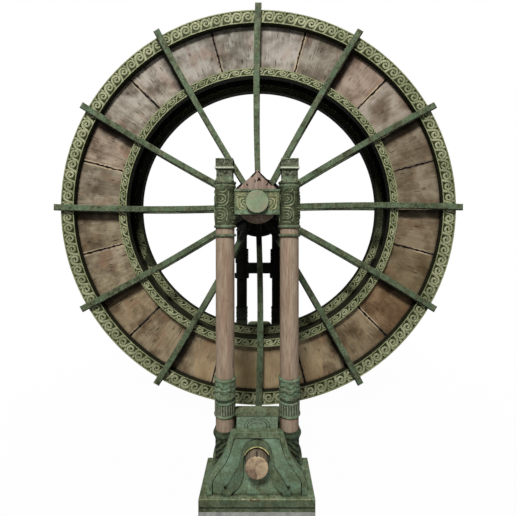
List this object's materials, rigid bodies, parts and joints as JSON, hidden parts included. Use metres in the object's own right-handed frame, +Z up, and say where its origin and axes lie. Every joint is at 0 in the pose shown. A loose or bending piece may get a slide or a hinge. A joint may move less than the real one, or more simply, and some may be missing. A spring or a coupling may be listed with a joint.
{
  "type": "water wheel",
  "caption": "Upright water wheel of boarded shrouds, floats and round bronze scroll rings, turning on a log axle between two pairs of carved posts on flared plinths.",
  "frame": {"origin": "on the ground, under the middle of the wheel", "axes": "+Z up, +X across the wheel to the right seen from the front, Y along the axle with the front facing -Y"},
  "size_m": [6.164, 3.96, 6.482],
  "materials": {
    "weathered_boards": "rough grey-brown weathered planks",
    "log_timber": "barked round timber, end grain showing",
    "red_timber": "reddish cracked plank",
    "post_timber": "worn smooth timber",
    "scroll_bronze": "green patina, raised scrolls rubbed pale",
    "green_bronze": "even green patina",
    "dark_bronze": "dark olive patina in carved relief",
    "base_bronze": "green patina with teal and rust patches",
    "footing_stone": "plain grey stone"
  },
  "bodies": {
    "frame": {"back_base": "base_bronze", "back_bearing": "scroll_bronze", "back_crest": "base_bronze", "back_footing": "footing_stone", "back_gable_board": "red_timber", "back_left_capital": "dark_bronze", "back_left_foot_sleeve": "dark_bronze", "back_left_lower_sleeve": "dark_bronze", "back_left_post": "post_timber", "back_log_stub": "log_timber", "back_plinth": "base_bronze", "back_right_capital": "dark_bronze", "back_right_foot_sleeve": "dark_bronze", "back_right_lower_sleeve": "dark_bronze", "back_right_post": "post_timber", "back_tie_beam": "dark_bronze", "front_base": "base_bronze", "front_bearing": "scroll_bronze", "front_crest": "base_bronze", "front_footing": "footing_stone", "front_gable_board": "red_timber", "front_left_capital": "dark_bronze", "front_left_foot_sleeve": "dark_bronze", "front_left_lower_sleeve": "dark_bronze", "front_left_post": "post_timber", "front_log_stub": "log_timber", "front_plinth": "base_bronze", "front_right_capital": "dark_bronze", "front_right_foot_sleeve": "dark_bronze", "front_right_lower_sleeve": "dark_bronze", "front_right_post": "post_timber"},
    "wheel": {"axle_log": "log_timber", "back_boards": "weathered_boards", "back_gudgeon": "green_bronze", "back_hub": "green_bronze", "back_inner_ring": "scroll_bronze", "back_outer_ring": "scroll_bronze", "back_spokes": "green_bronze", "floats": "weathered_boards", "front_boards": "weathered_boards", "front_gudgeon": "green_bronze", "front_hub": "green_bronze", "front_inner_ring": "scroll_bronze", "front_outer_ring": "scroll_bronze", "front_spokes": "green_bronze"}
  },
  "joints": [
    {"name": "wheel_spin", "type": "hinge", "parent": "frame", "child": "wheel", "pos_m": [0, 0, 3.4], "axis": [0, 1, 0], "continuous": true}
  ]
}
